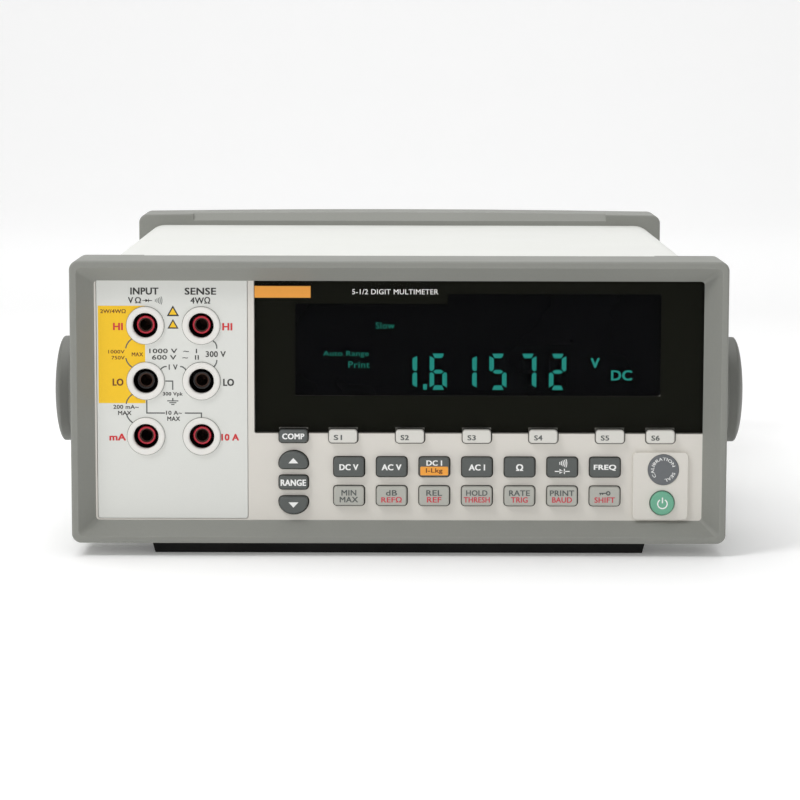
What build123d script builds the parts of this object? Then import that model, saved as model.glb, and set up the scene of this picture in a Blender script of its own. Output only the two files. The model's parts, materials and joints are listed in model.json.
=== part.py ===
"""Half-width bench multimeter: rubber-bumpered case, swinging handle, six input jacks, 24 keys.

Millimetres. X runs to the right seen from the front, Y from the front to the back and Z up.
The origin is the middle of the footprint, on the surface that the feet stand on.
"""
import os

from build123d import *

# Whole instrument
DEPTH = 297.0
FRONT_Y = -DEPTH / 2
FOOT_HEIGHT = 4.6

# Case sleeve and its ends
CASE_WIDTH = 217.0
CASE_HEIGHT = 87.0
CASE_BOTTOM = 9.3
CASE_MIDDLE = CASE_BOTTOM + CASE_HEIGHT / 2
CASE_RADIUS = 8.0
SLEEVE_WALL = 1.5
SLEEVE_FRONT = -138.5
SLEEVE_BACK = 138.0
INNER_WIDTH = CASE_WIDTH - 2 * SLEEVE_WALL
INNER_HEIGHT = CASE_HEIGHT - 2 * SLEEVE_WALL
INNER_RADIUS = CASE_RADIUS - SLEEVE_WALL
SLIDE_GAP = 0.2

# Bumpers
BUMPER_WIDTH = 223.4
BUMPER_HEIGHT = 96.7
BUMPER_LENGTH = 28.0
BUMPER_BOTTOM = FOOT_HEIGHT
BUMPER_TOP = BUMPER_BOTTOM + BUMPER_HEIGHT
RIM_WIDTH = 2.3
RECESS = 6.0
LIP_INSET_SIDE = 5.5
LIP_INSET_TOP = 4.9
RELIEF_WIDTH = 177.0
RELIEF_SIZE = 3.0
FRONT_CORNER = 3.2
REAR_CORNER = 3.6
THROAT_CORNER = 1.2
REAR_CROWN = 0.9

# Feet
FOOT_WIDTH = 170.0
FOOT_LENGTH = 18.0
FOOT_SETBACK = 8.0
FOOT_TONGUE = 2.0

# Front panel
PANEL_Y = FRONT_Y + RECESS
PANEL_THICK = 3.0
PANEL_BACK = PANEL_Y + PANEL_THICK
SPIGOT_BACK = -131.0
SPIGOT_WALL = 2.0

# Terminal plate and input jacks
PLATE_LEFT = -103.3
PLATE_RIGHT = -51.6
PLATE_BOTTOM = 12.2
PLATE_TOP = 95.1
PLATE_THICK = 1.8
JACK_PITCH = 19.05
JACK_X = (-86.5, -86.5 + JACK_PITCH)
JACK_Z = (78.8, 78.8 - JACK_PITCH, 78.8 - 2 * JACK_PITCH)
JACK_MARGIN = 9.0
COLLAR_R = 6.4
COLLAR_PROUD = 1.0
HOUSING_R = 6.0
SHROUD_R = 4.3
SLEEVE_R = 3.1
CONTACT_R = 2.45
SOCKET_R = 2.0
SOCKET_DEPTH = 20.0
HOUSING_BACK = -117.0

# Display window and the aperture behind it
WINDOW_LEFT = -49.5
WINDOW_RIGHT = 105.0
WINDOW_BOTTOM = 41.8
WINDOW_TOP = 94.5
WINDOW_THICK = 2.0
APERTURE_LEFT = -36.0
APERTURE_RIGHT = 89.5
APERTURE_BOTTOM = 54.5
APERTURE_TOP = 90.0

# Raised pad with the seal and the power button
PAD_LEFT = 80.1
PAD_RIGHT = 99.1
PAD_BOTTOM = 12.2
PAD_TOP = 35.6
PAD_PROUD = 1.5
SEAL_X = 90.5
SEAL_Z = 29.7
SEAL_R = 5.3
BUTTON_X = 90.2
BUTTON_Z = 18.2
BUTTON_R = 4.1
BUTTON_PROUD = 1.5

# Keys: every key slides back through the panel
KEY_PROUD = 1.9
KEY_GAP = 0.27
KEY_ROUND = 0.6
KEY_FLANGE = 0.7
KEY_FLANGE_THICK = 1.0
KEY_STEM_END = -137.2
FUNCTION_KEY = (10.3, 6.6)
FUNCTION_PITCH = 14.6
FUNCTION_FIRST_X = -17.1
UPPER_ROW_Z = 30.4
LOWER_ROW_Z = 20.4
SOFTKEY = (9.7, 4.5)
SOFTKEY_X = (-19.1, 3.75, 26.6, 49.35, 72.15, 89.4)
SOFTKEY_Z = 41.0
RANGE_X = -36.1
COMP_KEY = (9.7, 4.4)
RANGE_KEY = (9.8, 4.6)
ARROW_KEY = (9.9, 6.0)
ARROW_WAIST = 1.7
ARROW_CORNER = 1.4
COMP_Z = 41.0
UP_Z = 32.8
RANGE_Z = 25.0
DOWN_Z = 17.1
UPPER_ROW = ("key_dc_volts", "key_ac_volts", "key_dc_current", "key_ac_current", "key_ohms",
             "key_diode", "key_frequency")
LOWER_ROW = ("key_min_max", "key_db", "key_relative", "key_hold", "key_rate", "key_print",
             "key_shift")

# Handle: hubs on the case sides, arms that clear the bumpers, crossbar under the case
HINGE_Y = -94.5
HINGE_Z = 51.6
CROSSBAR_Y = -0.6
CROSSBAR_WIDTH = 26.0
CROSSBAR_THICK = 6.5
CROSSBAR_Z = 4.65
GRIP_LENGTH = 120.0
GRIP_DEPTH = 0.8
ARM_IN = 112.4
ARM_OUT = 116.2
ARM_ROOT_R = 20.5
ARM_END_HEIGHT = 13.0
BOSS_IN = 110.0
BOSS_R = 23.0
HUB_R = 18.7
HUB_RIM = 2.9
HUB_DOME = 3.2
PIVOT_R = 9.0
PIVOT_GAP = 0.05
PIVOT_FLANGE_R = 13.0
PIVOT_FLANGE = 1.1
PIVOT_END = 115.6
PIVOT_SCREW_R = 2.0
PIVOT_HEAD_R = 3.6

# Chassis tray and boards
TRAY_WALL = 1.2
TRAY_BOTTOM = CASE_BOTTOM + SLEEVE_WALL
TRAY_FLOOR = TRAY_BOTTOM + TRAY_WALL
TRAY_HALF = INNER_WIDTH / 2 - SLIDE_GAP
TRAY_FRONT = -126.0
TRAY_BACK = 135.5
TRAY_LOW_WALL = 60.0
BOARD_THICK = 1.6
POST_HEIGHT = 6.0
POST_R = 3.0
BOARD_Z = TRAY_FLOOR + POST_HEIGHT
BOARD_TOP = BOARD_Z + BOARD_THICK
BOARD_LEFT = -98.0
BOARD_RIGHT = 82.0
BOARD_FRONT = -112.0
BOARD_BACK = 118.0
BOARD_NOTCH_X = 10.0
BOARD_NOTCH_Y = 36.0
POSTS = ((-92, -104), (-92, 6), (-92, 110), (4, -104), (4, 110), (76, -104), (76, 28))
DISPLAY_BOARD_FRONT = -133.5
JACK_BOARD_FRONT = -115.6

# Mains transformer
CORE_X = 44.0
CORE_Y = 74.0
CORE_WIDTH = 57.0
CORE_HEIGHT = 48.0
CORE_STACK = 28.0
LEG = CORE_WIDTH / 6

# Rear panel and what sits in it
REAR_PANEL_FRONT = 136.0
REAR_PANEL_BACK = SLEEVE_BACK
BEZEL_BACK = 142.5
INLET_X = 66.0
INLET_Z = 46.0
INLET_WIDTH = 30.0
INLET_HEIGHT = 36.0
INLET_FLANGE = 2.6
SOCKET_WIDTH = 24.4
SOCKET_HEIGHT = 16.4
SOCKET_RISE = 6.8
DRAWER_WIDTH = 24.0
DRAWER_HEIGHT = 9.0
DRAWER_DROP = 10.4
DRAWER_DEPTH = 26.0
DRAWER_GAP = 0.1
SERIAL_X = -48.0
SERIAL_Z = 34.0
JACKSCREW_SPACING = 24.99
JACKSCREW_R = 1.15
EARTH_X = 30.0
EARTH_Z = 30.0
REAR_SCREWS = ((-98, 22), (98, 22), (-98, 84), (98, 84))

SWITCH_X = BUTTON_X
SWITCH_Y = 62.0


def front_plane(y):
    """Plane at depth y whose local axes are X and Z and whose normal faces the front."""
    return Plane(origin=(0, y, 0), x_dir=(1, 0, 0), z_dir=(0, -1, 0))


def slab(outline, y_front, y_back):
    """Extrude an X-Z outline between two depths."""
    return extrude(front_plane(y_back) * outline, y_back - y_front)


def rectangle(left, right, bottom, top, radius=0.0):
    """X-Z outline given by its edges, with rounded corners if a radius is given."""
    middle = Pos((left + right) / 2, (bottom + top) / 2)
    if radius:
        return middle * RectangleRounded(right - left, top - bottom, radius)
    return middle * Rectangle(right - left, top - bottom)


def block(x0, x1, y0, y1, z0, z1):
    """Plain box given by its limits."""
    centre = Pos((x0 + x1) / 2, (y0 + y1) / 2, (z0 + z1) / 2)
    return centre * Box(x1 - x0, y1 - y0, z1 - z0)


def rod_y(x, z, radius, y_front, y_back):
    """Round rod along Y."""
    return slab(Pos(x, z) * Circle(radius), y_front, y_back)


def rod_z(x, y, radius, z_low, z_high):
    """Round rod along Z."""
    return Pos(x, y, z_low) * extrude(Circle(radius), z_high - z_low)


def rod_x(y, z, radius, x_low, x_high):
    """Round rod along X."""
    plane = Plane(origin=(x_low, y, z), x_dir=(0, 1, 0), z_dir=(1, 0, 0))
    return extrude(plane * Circle(radius), x_high - x_low)


def case_outline(inset=0.0):
    """Outline of the case, drawn in by an inset."""
    shape = RectangleRounded(CASE_WIDTH - 2 * inset, CASE_HEIGHT - 2 * inset, CASE_RADIUS - inset)
    return Pos(0, CASE_MIDDLE) * shape


def save(name, *pieces):
    """Write one node; a node of several pieces is a group of separate solids."""
    solids = [solid for piece in pieces for solid in piece.solids()]
    node = solids[0] if len(solids) == 1 else Compound(solids)
    export_step(node, f"parts/{name}.step")


# ---------------------------------------------------------------- case and bumpers


def case_sleeve():
    """Wrap-around painted cover, open at both ends, drilled for the handle pivots."""
    sleeve = slab(case_outline(), SLEEVE_FRONT, SLEEVE_BACK)
    sleeve -= slab(case_outline(SLEEVE_WALL), SLEEVE_FRONT, SLEEVE_BACK)
    sleeve -= rod_x(HINGE_Y, HINGE_Z, PIVOT_SCREW_R + SLIDE_GAP, -CASE_WIDTH, CASE_WIDTH)
    slot = block(-30, 30, -1.25, 1.25, CASE_BOTTOM - 1, CASE_BOTTOM + SLEEVE_WALL + 1)
    slot = fillet(slot.edges().filter_by(Axis.Z), 1.2)
    for row in range(5):
        for side in (-1, 1):
            sleeve -= Pos(side * 52, 52 + row * 9) * slot
    return sleeve


def bumper_outline(corner, crown):
    """Outer outline of a bumper, its top edge bowed up by the crown."""
    half = BUMPER_WIDTH / 2
    low = BUMPER_BOTTOM
    high = BUMPER_TOP - crown / 2
    walls = Polyline((-half, high), (-half, low), (half, low), (half, high))
    if crown:
        top = ThreePointArc((half, high), (0, high + crown), (-half, high))
    else:
        top = Line((half, high), (-half, high))
    outline = make_face(walls + top)
    return fillet(outline.vertices(), corner)


def bumper(corner, crown):
    """Rubber boot for the front end: a rim, a slanted lip round the panel and a stacking relief."""
    back = FRONT_Y + BUMPER_LENGTH
    boot = slab(bumper_outline(corner, crown), FRONT_Y, back)
    boot = fillet(boot.faces().sort_by(Axis.Y)[0].edges(), 0.9)
    boot = fillet(boot.faces().sort_by(Axis.Y)[-1].edges(), 0.7)
    high = BUMPER_TOP + crown
    corner_points = [
        (back - RELIEF_SIZE - crown, high),
        (back + 1, high),
        (back + 1, BUMPER_TOP - RELIEF_SIZE - 1),
    ]
    relief = make_face(Polyline(*corner_points, close=True))
    side_plane = Plane(origin=(-RELIEF_WIDTH / 2, 0, 0), x_dir=(0, 1, 0), z_dir=(1, 0, 0))
    boot -= extrude(side_plane * relief, RELIEF_WIDTH)
    boot -= slab(case_outline(), PANEL_Y, back)
    half = BUMPER_WIDTH / 2
    mouth = rectangle(-half + RIM_WIDTH, half - RIM_WIDTH, BUMPER_BOTTOM + RIM_WIDTH,
                      BUMPER_TOP - RIM_WIDTH, corner - 1.4)
    side = half - RIM_WIDTH - LIP_INSET_SIDE
    throat = rectangle(-side, side, BUMPER_BOTTOM + RIM_WIDTH + LIP_INSET_TOP,
                       BUMPER_TOP - RIM_WIDTH - LIP_INSET_TOP, THROAT_CORNER)
    boot -= loft([front_plane(FRONT_Y) * mouth, front_plane(PANEL_Y) * throat])
    boot -= foot_block(FOOT_TONGUE)
    return boot


def foot_block(height):
    """The stretch of a foot that fills its pocket in the bumper, height above the bumper's floor."""
    front = FRONT_Y + FOOT_SETBACK
    inset = 3.0
    half = FOOT_WIDTH / 2 - inset
    return block(-half, half, front + inset, front + FOOT_LENGTH - inset, FOOT_HEIGHT,
                 FOOT_HEIGHT + height)


def foot():
    """Front rubber foot bar with sloping ends, keyed into the bumper."""
    front = FRONT_Y + FOOT_SETBACK
    half = FOOT_WIDTH / 2
    profile = make_face(Polyline((-half, FOOT_HEIGHT), (half, FOOT_HEIGHT), (half - 1.2, 0),
                                 (1.2 - half, 0), close=True))
    bar = slab(profile, front, front + FOOT_LENGTH)
    bar = fillet(bar.edges().filter_by(Axis.X), 0.9)
    return bar + foot_block(FOOT_TONGUE)


# ---------------------------------------------------------------- keys


def oblong(size, radius=1.1):
    """Outline of an oblong key."""
    return RectangleRounded(size[0], size[1], radius)


def half_moon(size, grow=0.0):
    """Outline of an arrow key: an ellipse cut off flat below, its two corners rounded."""
    low = -size[1] / 2
    middle = low + ARROW_WAIST
    bow = Pos(0, middle) * Ellipse(size[0] / 2 + grow, size[1] - ARROW_WAIST + grow)
    outline = bow & rectangle(-size[0], size[0], low - grow, size[1])
    return fillet(outline.vertices().group_by(Axis.Y)[0], ARROW_CORNER + grow)


def key_table():
    """Name, place, outline, grown outline of every key."""
    keys = []
    rows = ((UPPER_ROW, UPPER_ROW_Z), (LOWER_ROW, LOWER_ROW_Z))
    for names, z in rows:
        for index, name in enumerate(names):
            keys.append((name, FUNCTION_FIRST_X + index * FUNCTION_PITCH, z, FUNCTION_KEY, 0))
    for index, x in enumerate(SOFTKEY_X):
        keys.append((f"softkey_{index + 1}", x, SOFTKEY_Z, SOFTKEY, 0))
    keys.append(("key_comp", RANGE_X, COMP_Z, COMP_KEY, 0))
    keys.append(("key_range", RANGE_X, RANGE_Z, RANGE_KEY, 0))
    keys.append(("key_up", RANGE_X, UP_Z, ARROW_KEY, 1))
    keys.append(("key_down", RANGE_X, DOWN_Z, ARROW_KEY, -1))
    return keys


def key_outline(size, moon, grow=0.0):
    """Key outline grown all round; moon is 0 for an oblong, 1 for bowed up, -1 for bowed down."""
    if moon == 0:
        return oblong((size[0] + 2 * grow, size[1] + 2 * grow))
    outline = half_moon(size, grow)
    return outline if moon > 0 else Rot(0, 0, 180) * outline


def key(x, z, size, moon):
    """Key cap with a retaining flange behind the panel and a stem towards its dome."""
    place = Pos(x, z)
    cap = slab(place * key_outline(size, moon), PANEL_Y - KEY_PROUD, PANEL_BACK + 0.3)
    cap = fillet(cap.faces().sort_by(Axis.Y)[0].edges(), KEY_ROUND)
    flange_front = PANEL_BACK + 0.3
    flange_back = flange_front + KEY_FLANGE_THICK
    flange = slab(place * key_outline(size, moon, KEY_FLANGE), flange_front, flange_back)
    stem = slab(place * Rectangle(4, 2.6), flange_back, KEY_STEM_END)
    return cap + flange + stem


def key_holes(y_front, y_back):
    """Clearance holes for all keys."""
    holes = [slab(Pos(x, z) * key_outline(size, moon, KEY_GAP), y_front, y_back)
             for _, x, z, size, moon in key_table()]
    return Part() + holes


def power_button():
    """Round push button with a domed face and a retaining flange."""
    front = PANEL_Y - PAD_PROUD - BUTTON_PROUD
    cap = rod_y(BUTTON_X, BUTTON_Z, BUTTON_R, front, PANEL_BACK + 0.3)
    cap = fillet(cap.faces().sort_by(Axis.Y)[0].edges(), 0.7)
    return cap + rod_y(BUTTON_X, BUTTON_Z, BUTTON_R + 1.0, PANEL_BACK + 0.3, PANEL_BACK + 1.3)


def power_push_rod():
    """Long square rod from the button to the switch."""
    start = PANEL_BACK + 1.3
    rod = block(BUTTON_X - 2.2, BUTTON_X + 2.2, start, SWITCH_Y - 6, BUTTON_Z - 2.2, BUTTON_Z + 2.2)
    return chamfer(rod.edges().filter_by(Axis.Y), 0.5)


# ---------------------------------------------------------------- front panel


def front_panel():
    """Moulded panel: recesses for plate and window, key holes, raised pad and rear spigot."""
    panel = slab(case_outline(), PANEL_Y, PANEL_BACK)
    rim = slab(case_outline(), PANEL_BACK, SLEEVE_FRONT)
    rim -= slab(case_outline(SLEEVE_WALL + SLIDE_GAP + SPIGOT_WALL), PANEL_BACK, SLEEVE_FRONT)
    spigot = slab(case_outline(SLEEVE_WALL + SLIDE_GAP), SLEEVE_FRONT, SPIGOT_BACK)
    spigot -= slab(case_outline(SLEEVE_WALL + SLIDE_GAP + SPIGOT_WALL), SLEEVE_FRONT, SPIGOT_BACK)
    pad = slab(rectangle(PAD_LEFT, PAD_RIGHT, PAD_BOTTOM, PAD_TOP, 1.6), PANEL_Y - PAD_PROUD, PANEL_Y)
    pad = fillet(pad.faces().sort_by(Axis.Y)[0].edges(), 0.35)
    panel = panel + rim + spigot + pad
    panel -= slab(rectangle(PLATE_LEFT, PLATE_RIGHT, PLATE_BOTTOM, PLATE_TOP, 1.0), PANEL_Y,
                  PANEL_Y + PLATE_THICK)
    panel -= slab(rectangle(WINDOW_LEFT, WINDOW_RIGHT, WINDOW_BOTTOM, WINDOW_TOP, 0.8), PANEL_Y,
                  PANEL_Y + WINDOW_THICK)
    panel -= slab(rectangle(APERTURE_LEFT, APERTURE_RIGHT, APERTURE_BOTTOM, APERTURE_TOP, 1.0),
                  PANEL_Y, PANEL_BACK)
    panel -= slab(rectangle(JACK_X[0] - JACK_MARGIN, JACK_X[1] + JACK_MARGIN, JACK_Z[2] - JACK_MARGIN,
                            JACK_Z[0] + JACK_MARGIN, 3.0), PANEL_Y, PANEL_BACK)
    panel -= key_holes(PANEL_Y - 0.1, PANEL_BACK)
    panel -= rod_y(BUTTON_X, BUTTON_Z, BUTTON_R + KEY_GAP, PANEL_Y - PAD_PROUD, PANEL_BACK)
    panel -= rod_y(SEAL_X, SEAL_Z, SEAL_R + 0.1, PANEL_Y - PAD_PROUD, PANEL_Y - PAD_PROUD + 0.5)
    return panel


def calibration_seal():
    """Soft disc pressed into its recess."""
    face = PANEL_Y - PAD_PROUD
    disc = rod_y(SEAL_X, SEAL_Z, SEAL_R, face - 0.3, face + 0.5)
    return fillet(disc.faces().sort_by(Axis.Y)[0].edges(), 0.25)


def terminal_plate():
    """Insert behind the jacks, flush with the panel, with a hole for every collar."""
    gap = 0.2
    outline = rectangle(PLATE_LEFT + gap, PLATE_RIGHT - gap, PLATE_BOTTOM + gap, PLATE_TOP - gap, 0.8)
    plate = slab(outline, PANEL_Y, PANEL_Y + PLATE_THICK)
    for x in JACK_X:
        for z in JACK_Z:
            plate -= rod_y(x, z, COLLAR_R + 0.05, PANEL_Y, PANEL_Y + PLATE_THICK)
    return plate


def display_window():
    """Smoked acrylic window, notched along its lower edge for the softkeys."""
    gap = 0.15
    outline = rectangle(WINDOW_LEFT + gap, WINDOW_RIGHT - gap, WINDOW_BOTTOM + gap, WINDOW_TOP - gap, 0.7)
    window = slab(outline, PANEL_Y, PANEL_Y + WINDOW_THICK)
    return window - key_holes(PANEL_Y, PANEL_Y + WINDOW_THICK)


# ---------------------------------------------------------------- jacks


def jack_collar(x, z):
    """Raised white ring round one jack."""
    ring = rod_y(x, z, COLLAR_R, PANEL_Y - COLLAR_PROUD, PANEL_Y + PLATE_THICK)
    ring = fillet(ring.faces().sort_by(Axis.Y)[0].edges(), 0.5)
    ring -= rod_y(x, z, SHROUD_R, PANEL_Y - COLLAR_PROUD, PANEL_Y + PLATE_THICK)
    return chamfer(ring.faces().sort_by(Axis.Y)[0].edges().sort_by(SortBy.RADIUS)[0], 0.4)


def jack_housing(x, z):
    """Black shroud of one jack with a closed floor that the contact tail passes through."""
    front = PANEL_Y + PLATE_THICK
    floor = PANEL_Y + 3.0 + SOCKET_DEPTH
    housing = rod_y(x, z, HOUSING_R, front, HOUSING_BACK)
    housing -= rod_y(x, z, SHROUD_R, front, floor)
    return housing - rod_y(x, z, 0.8, floor, HOUSING_BACK)


def jack_sleeve(x, z):
    """Coloured insulating sleeve round one contact."""
    front = PANEL_Y + 2.2
    floor = PANEL_Y + 3.0 + SOCKET_DEPTH
    sleeve = rod_y(x, z, SLEEVE_R, front, floor)
    sleeve = fillet(sleeve.faces().sort_by(Axis.Y)[0].edges(), 0.3)
    return sleeve - rod_y(x, z, CONTACT_R, front, floor)


def jack_contact(x, z):
    """Plated socket for a 4 mm plug, with a solder tail."""
    front = PANEL_Y + 3.0
    floor = front + SOCKET_DEPTH
    contact = rod_y(x, z, CONTACT_R, front, floor)
    contact -= rod_y(x, z, SOCKET_R, front, floor - 1.0)
    return contact + rod_y(x, z, 0.75, floor, JACK_BOARD_FRONT + BOARD_THICK + 1.0)


# ---------------------------------------------------------------- handle


def handle_arm():
    """Right arm: a tapering strap with a boss that reaches in to the pivot."""
    plane = Plane(origin=(ARM_IN, 0, 0), x_dir=(0, 1, 0), z_dir=(1, 0, 0))
    root = Pos(HINGE_Y, HINGE_Z) * Circle(ARM_ROOT_R)
    low = CROSSBAR_Z - CROSSBAR_THICK / 2
    end = Pos(CROSSBAR_Y, low + ARM_END_HEIGHT / 2) * RectangleRounded(CROSSBAR_WIDTH, ARM_END_HEIGHT, 4.5)
    outline = make_hull(root.edges() + end.edges())
    arm = extrude(plane * outline, ARM_OUT - ARM_IN)
    arm = fillet(arm.faces().sort_by(Axis.X)[-1].edges(), 1.4)
    boss_plane = Plane(origin=(BOSS_IN, HINGE_Y, HINGE_Z), x_dir=(0, 1, 0), z_dir=(1, 0, 0))
    boss = extrude(boss_plane * Circle(BOSS_R), ARM_IN - BOSS_IN + 1.0)
    boss = chamfer(boss.faces().sort_by(Axis.X)[0].edges(), 0.6)
    boss += rod_x(HINGE_Y, HINGE_Z, ARM_ROOT_R - 3.0, ARM_OUT - 1.0, ARM_OUT)
    arm += boss
    return arm - rod_x(HINGE_Y, HINGE_Z, PIVOT_R + PIVOT_GAP, BOSS_IN, PIVOT_END + 0.2)


def handle_frame():
    """Both arms and the flat crossbar under the case, waisted where the grip wraps it."""
    arm = handle_arm()
    low = CROSSBAR_Z - CROSSBAR_THICK / 2
    high = CROSSBAR_Z + CROSSBAR_THICK / 2
    front = CROSSBAR_Y - CROSSBAR_WIDTH / 2
    back = CROSSBAR_Y + CROSSBAR_WIDTH / 2
    bar = block(-ARM_IN - 1, ARM_IN + 1, front, back, low, high)
    bar = fillet(bar.edges().filter_by(Axis.X), 2.0)
    waist = block(-GRIP_LENGTH / 2, GRIP_LENGTH / 2, front, back, low, high)
    waist -= block(-GRIP_LENGTH, GRIP_LENGTH, front + GRIP_DEPTH, back - GRIP_DEPTH,
                   low + GRIP_DEPTH, high - GRIP_DEPTH)
    return arm + mirror(arm, Plane.YZ) + (bar - waist)


def handle_grip():
    """Soft sleeve moulded round the middle of the crossbar."""
    low = CROSSBAR_Z - CROSSBAR_THICK / 2
    high = CROSSBAR_Z + CROSSBAR_THICK / 2
    front = CROSSBAR_Y - CROSSBAR_WIDTH / 2
    back = CROSSBAR_Y + CROSSBAR_WIDTH / 2
    grip = block(-GRIP_LENGTH / 2, GRIP_LENGTH / 2, front, back, low, high)
    grip = fillet(grip.edges().filter_by(Axis.X), 2.0)
    return grip - block(-GRIP_LENGTH, GRIP_LENGTH, front + GRIP_DEPTH, back - GRIP_DEPTH,
                        low + GRIP_DEPTH, high - GRIP_DEPTH)


def hub_cap():
    """Domed cap on the outside of the right arm."""
    edge = ARM_OUT + HUB_RIM
    top = edge + HUB_DOME
    dome = EllipticalCenterArc((edge, 0), HUB_DOME, HUB_R, start_angle=0, arc_size=90)
    profile = make_face(dome + Polyline((edge, HUB_R), (ARM_OUT, HUB_R), (ARM_OUT, 0), (top, 0)))
    cap = revolve(profile, Axis.X)
    return Pos(0, HINGE_Y, HINGE_Z) * cap


def handle_pivot():
    """Right pivot: a flange on the case side and a stub that the boss turns on."""
    side = CASE_WIDTH / 2
    pivot = rod_x(HINGE_Y, HINGE_Z, PIVOT_FLANGE_R, side, side + PIVOT_FLANGE)
    pivot += rod_x(HINGE_Y, HINGE_Z, PIVOT_R, side + PIVOT_FLANGE, PIVOT_END)
    pivot -= rod_x(HINGE_Y, HINGE_Z, PIVOT_SCREW_R + 0.1, side, PIVOT_END)
    return pivot - rod_x(HINGE_Y, HINGE_Z, PIVOT_HEAD_R + 0.2, PIVOT_END - 2.8, PIVOT_END)


def pivot_screw():
    """Screw through the pivot, the sleeve and the tray wall."""
    shank = rod_x(HINGE_Y, HINGE_Z, PIVOT_SCREW_R, TRAY_HALF - 4, PIVOT_END - 2.8)
    head = rod_x(HINGE_Y, HINGE_Z, PIVOT_HEAD_R, PIVOT_END - 2.8, PIVOT_END - 0.6)
    return shank + head


# ---------------------------------------------------------------- chassis and boards


def chassis_tray():
    """Folded metal tray with board posts, pivot holes and tapped ears for the rear panel."""
    low = TRAY_BOTTOM
    tray = block(-TRAY_HALF, TRAY_HALF, TRAY_FRONT, TRAY_BACK, low, TRAY_FLOOR)
    tray = tray & slab(case_outline(SLEEVE_WALL + SLIDE_GAP), TRAY_FRONT, TRAY_BACK)
    for side in (-1, 1):
        x0, x1 = sorted((side * (TRAY_HALF - TRAY_WALL), side * TRAY_HALF))
        tray += block(x0, x1, TRAY_FRONT, TRAY_BACK, low + 6.3, TRAY_LOW_WALL)
        fold = block(x0, x1, TRAY_FRONT, TRAY_BACK, low, low + 6.3)
        ring = slab(case_outline(SLEEVE_WALL + SLIDE_GAP), TRAY_FRONT, TRAY_BACK)
        ring -= slab(case_outline(SLEEVE_WALL + SLIDE_GAP + TRAY_WALL), TRAY_FRONT, TRAY_BACK)
        corner = sorted((side * (TRAY_HALF - 7), side * TRAY_HALF))
        fold = ring & block(corner[0], corner[1], TRAY_FRONT, TRAY_BACK, low, low + 6.5)
        tray += fold
        tray += block(x0, x1, 100, TRAY_BACK, TRAY_LOW_WALL, 88)
    for x, z in REAR_SCREWS:
        inner, outer = sorted((x - 5, TRAY_HALF if x > 0 else -TRAY_HALF))
        if x < 0:
            inner, outer = -TRAY_HALF, x + 5
        tray += block(inner, outer, TRAY_BACK - 8, TRAY_BACK, z - 5, z + 5)
        tray -= rod_y(x, z, 1.5, TRAY_BACK - 8, TRAY_BACK)
    for x, y in POSTS:
        tray += rod_z(x, y, POST_R, TRAY_FLOOR, BOARD_Z)
        tray -= rod_z(x, y, 1.3, TRAY_FLOOR, BOARD_Z)
    tray -= rod_x(HINGE_Y, HINGE_Z, PIVOT_SCREW_R + 0.02, -CASE_WIDTH, CASE_WIDTH)
    return tray


def main_board():
    """Circuit board on the tray's posts, notched for the transformer."""
    board = block(BOARD_LEFT, BOARD_RIGHT, BOARD_FRONT, BOARD_BACK, BOARD_Z, BOARD_TOP)
    board -= block(BOARD_NOTCH_X, BOARD_RIGHT, BOARD_NOTCH_Y, BOARD_BACK, BOARD_Z, BOARD_TOP)
    for x, y in POSTS:
        board -= rod_z(x, y, 1.6, BOARD_Z, BOARD_TOP)
    return board


def board_screws():
    """Pan-head screws that hold the main board."""
    screws = []
    for x, y in POSTS:
        screw = rod_z(x, y, 1.25, TRAY_FLOOR + 0.5, BOARD_TOP) + rod_z(x, y, 2.6, BOARD_TOP, BOARD_TOP + 1.8)
        screws.append(screw)
    return screws


def display_board():
    """Upright board that carries the display tube and the keypad contacts."""
    back = DISPLAY_BOARD_FRONT + BOARD_THICK
    board = slab(rectangle(-50, 102, 14.5, 91), DISPLAY_BOARD_FRONT, back)
    return board - rod_y(BUTTON_X, BUTTON_Z, 5.0, DISPLAY_BOARD_FRONT, back)


def display_tube():
    """Flat glass fluorescent display with its evacuation tip."""
    front = PANEL_BACK + 0.4
    tube = slab(rectangle(-40, 94, 51, 91, 1.0), front, DISPLAY_BOARD_FRONT)
    return tube


def keypad_membrane():
    """Silicone sheet on the display board with one dome for every key."""
    back = DISPLAY_BOARD_FRONT
    sheet = slab(rectangle(-45, 79, 15, 47, 2.0), back - 1.0, back)
    low_row = slab(rectangle(79, 99, 36.5, 47, 2.0), back - 1.0, back)
    domes = [rod_y(x, z, 1.9, back - 2.2, back - 1.0) for _, x, z, _, _ in key_table()]
    return sheet + low_row + domes


def ribbon_cable():
    """Flat cable from the display board down to the main board."""
    start = DISPLAY_BOARD_FRONT + BOARD_THICK
    route = FilletPolyline((start, 34), (start + 9, 34), (start + 13, BOARD_TOP + 8),
                           (start + 24, BOARD_TOP + 6), (start + 24, BOARD_TOP), radius=1.6)
    side = Plane(origin=(-15, 0, 0), x_dir=(0, 1, 0), z_dir=(1, 0, 0))
    strip = side * trace(route, 0.7)
    return extrude(strip, 32)


def jack_board():
    """Small upright board that the jack contacts are soldered into."""
    back = JACK_BOARD_FRONT + BOARD_THICK
    board = slab(rectangle(-98, -56, 31, 89, 1.0), JACK_BOARD_FRONT, back)
    for x in JACK_X:
        for z in JACK_Z:
            board -= rod_y(x, z, 0.8, JACK_BOARD_FRONT, back)
    return board


def input_fuses():
    """Two cartridge fuses in their clips behind the current jacks."""
    pieces = []
    for x, y, radius, length in ((-62, -84, 5.1, 38), (-62, -66, 3.2, 20)):
        z = BOARD_TOP + radius + 2
        pieces.append(rod_x(y, z, radius, x - length / 2, x + length / 2))
        for end in (-1, 1):
            clip = Pos(x + end * (length / 2 - 3.5), y, BOARD_TOP + (radius + 2) / 2)
            solid = clip * Box(5, 2 * radius + 2, radius + 2)
            pieces.append(solid - rod_x(y, z, radius, x - length, x + length))
    return pieces


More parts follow.
